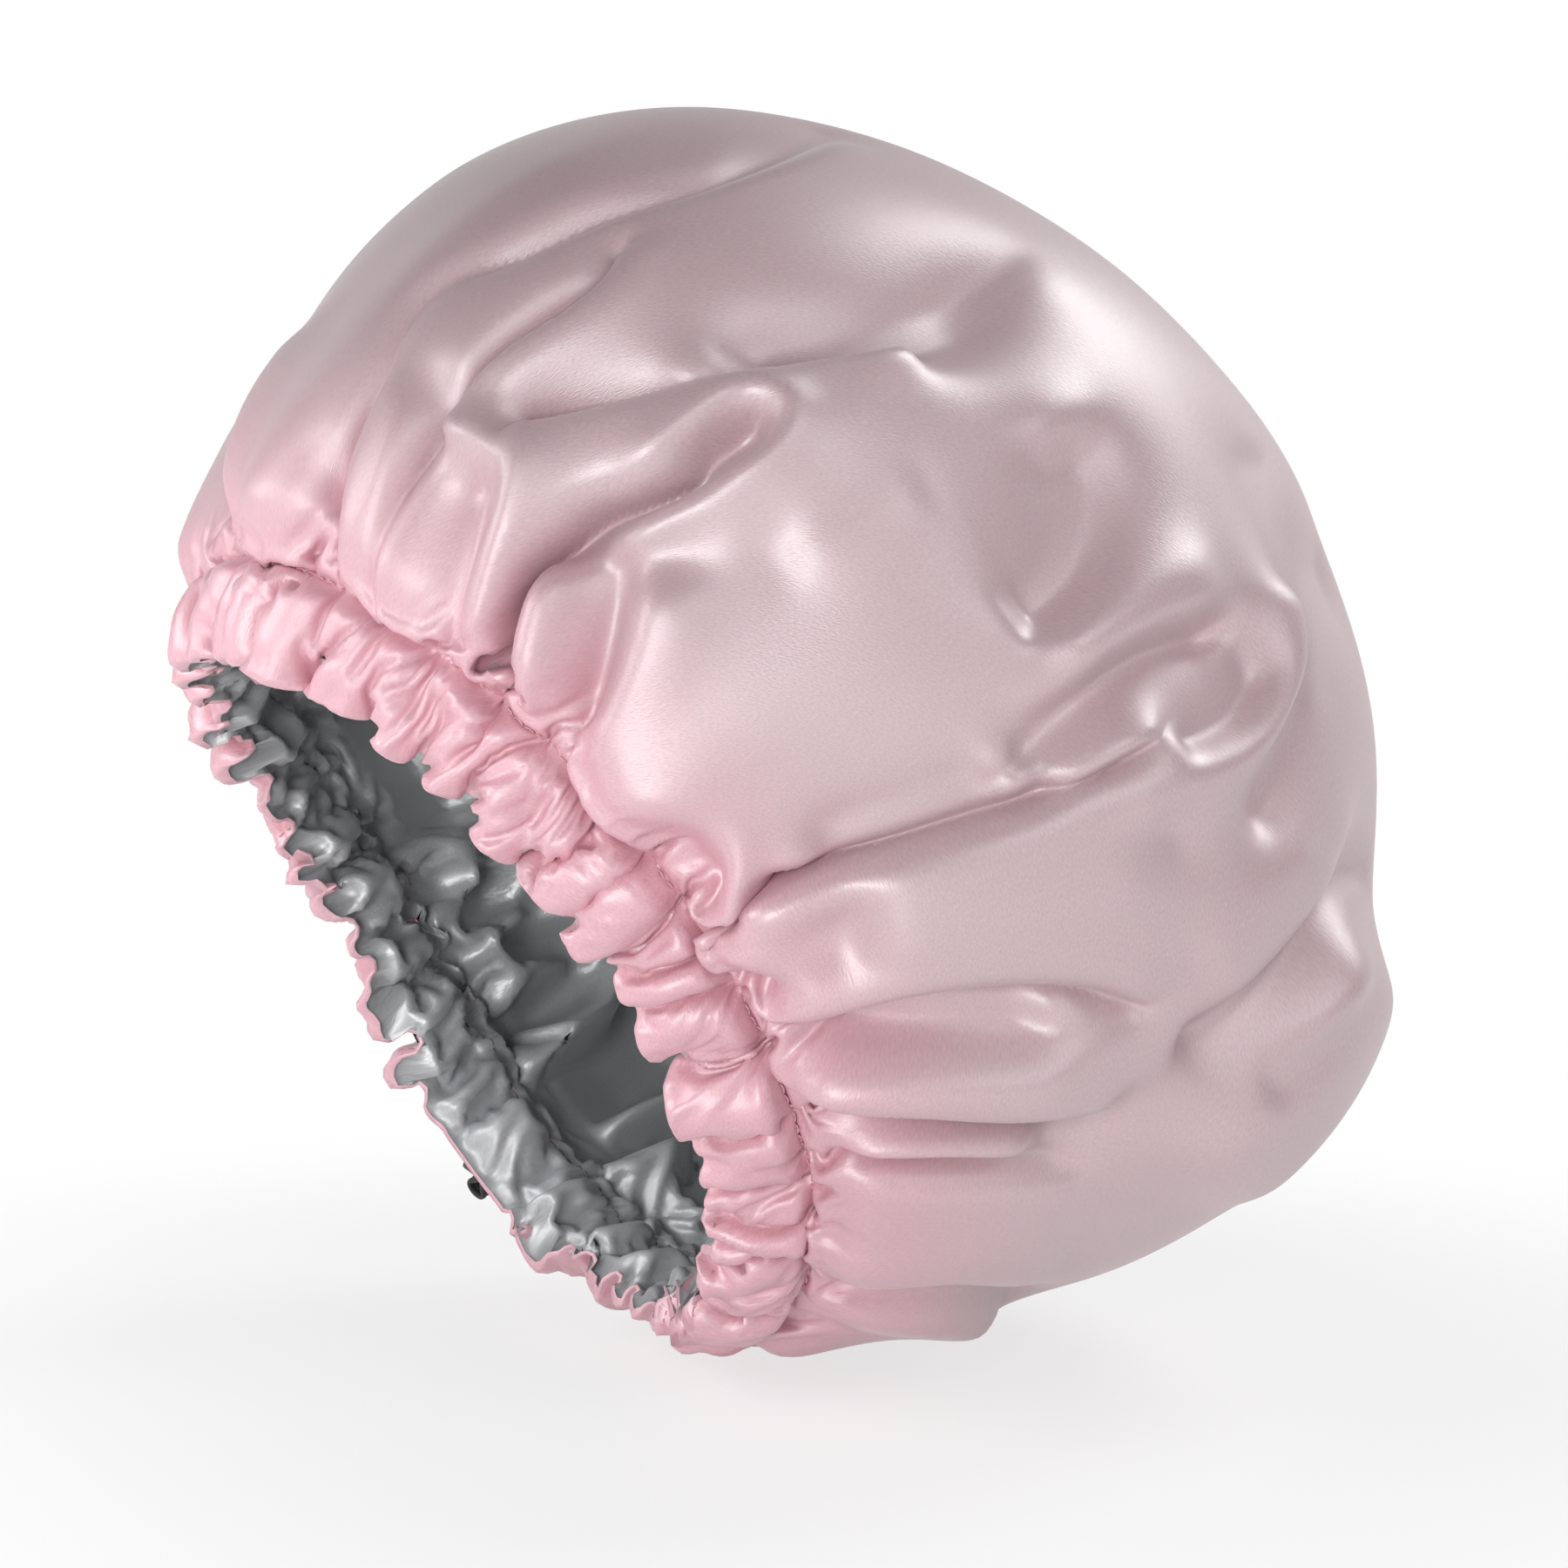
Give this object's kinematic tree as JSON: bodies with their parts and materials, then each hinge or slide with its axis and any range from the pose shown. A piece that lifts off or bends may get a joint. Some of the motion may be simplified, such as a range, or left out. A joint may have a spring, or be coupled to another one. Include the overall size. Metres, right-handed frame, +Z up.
{
  "type": "shower cap",
  "caption": "Double-layer satin cap: full gathered crown, lining, elastic band in a ruffled casing round the brim, and a spring cord lock on the band.",
  "frame": {"origin": "centre of the head opening, in the plane of the brim's free edge at the forehead and nape", "axes": "worn pose: +Z up, the wearer faces -Y, +X to the wearer's left; the opening faces forward and down"},
  "size_m": [0.2691, 0.2956, 0.2968],
  "materials": {
    "satin_outer": "pale pink satin, soft sheen",
    "satin_lining": "grey satin, soft sheen",
    "elastic": "black ribbed woven elastic",
    "thread_outer": "pink sewing thread",
    "thread_lining": "grey sewing thread",
    "lock_plastic": "dark grey moulded plastic",
    "spring_steel": "drawn wire"
  },
  "bodies": {
    "cap": {"outer_shell": "satin_outer", "lining": "satin_lining", "elastic_band": "elastic", "channel_stitch_outer": "thread_outer", "channel_stitch_inner": "thread_lining", "edge_seam": "thread_outer", "exit_buttonhole": "thread_outer"},
    "lock": {"lock_barrel": "lock_plastic", "lock_spring": "spring_steel"},
    "plunger": {"lock_plunger": "lock_plastic"}
  },
  "joints": [
    {"name": "lock_slide", "type": "slide", "parent": "cap", "child": "lock", "axis": [-0.8196, 0.1907, -0.5403], "range_m": [0, 0.004]},
    {"name": "plunger_press", "type": "slide", "parent": "lock", "child": "plunger", "axis": [0.5613, 0.4568, -0.6901], "range_m": [0, 0.003], "stiffness_N_per_m": 800, "springref_m": -0.004, "deforming": ["lock_spring"]}
  ]
}
